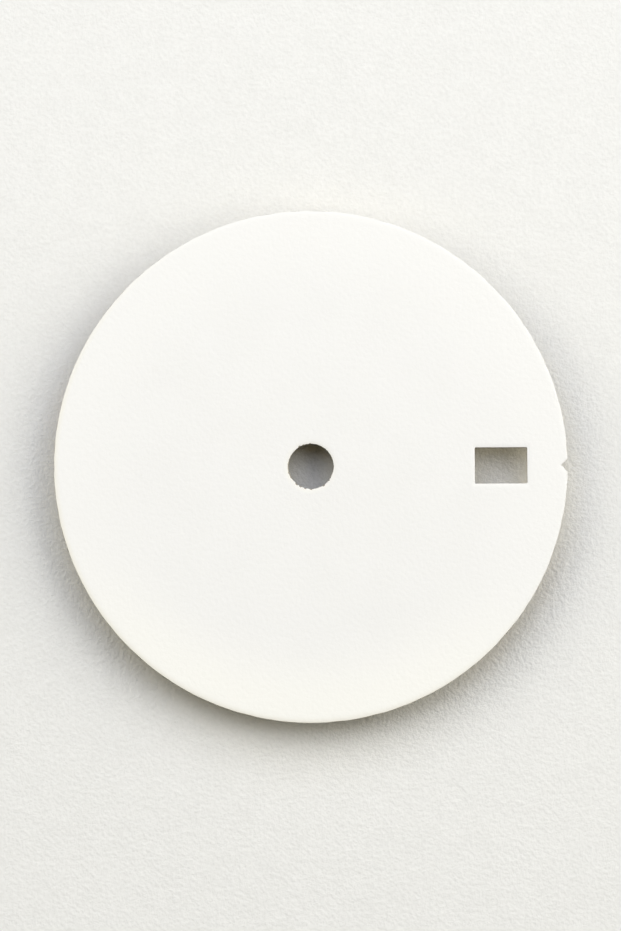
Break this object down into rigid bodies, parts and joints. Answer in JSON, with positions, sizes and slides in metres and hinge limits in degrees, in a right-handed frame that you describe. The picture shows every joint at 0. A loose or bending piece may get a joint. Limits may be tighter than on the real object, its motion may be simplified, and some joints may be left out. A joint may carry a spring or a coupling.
{
  "type": "watch dial",
  "caption": "Round blank watch dial in white lacquer over brass, with a central hole for the hands, a date window, a notch in its rim, and two pairs of pins on its back.",
  "frame": {"origin": "on the axis of the centre hole, at the back face of the plate, where the dial seats on the movement", "axes": "+Z out of the lacquered face, +X to 3 o'clock where the date window and the rim notch are, +Y to 12 o'clock"},
  "size_m": [0.0285, 0.0284, 0.0022],
  "materials": {
    "plate_brass": "rolled and lightly lapped sheet brass",
    "white_lacquer": "smooth matt lacquer",
    "foot_copper": "drawn copper",
    "solder": "bright soft solder"
  },
  "bodies": {
    "root": {"dial_plate": "plate_brass", "lacquer_coat": "white_lacquer", "dial_foot_near_four": "foot_copper", "dial_foot_near_five": "foot_copper", "dial_foot_near_nine": "foot_copper", "dial_foot_near_ten": "foot_copper", "solder_ring_near_four": "solder", "solder_ring_near_five": "solder", "solder_ring_near_nine": "solder", "solder_ring_near_ten": "solder"}
  },
  "joints": []
}
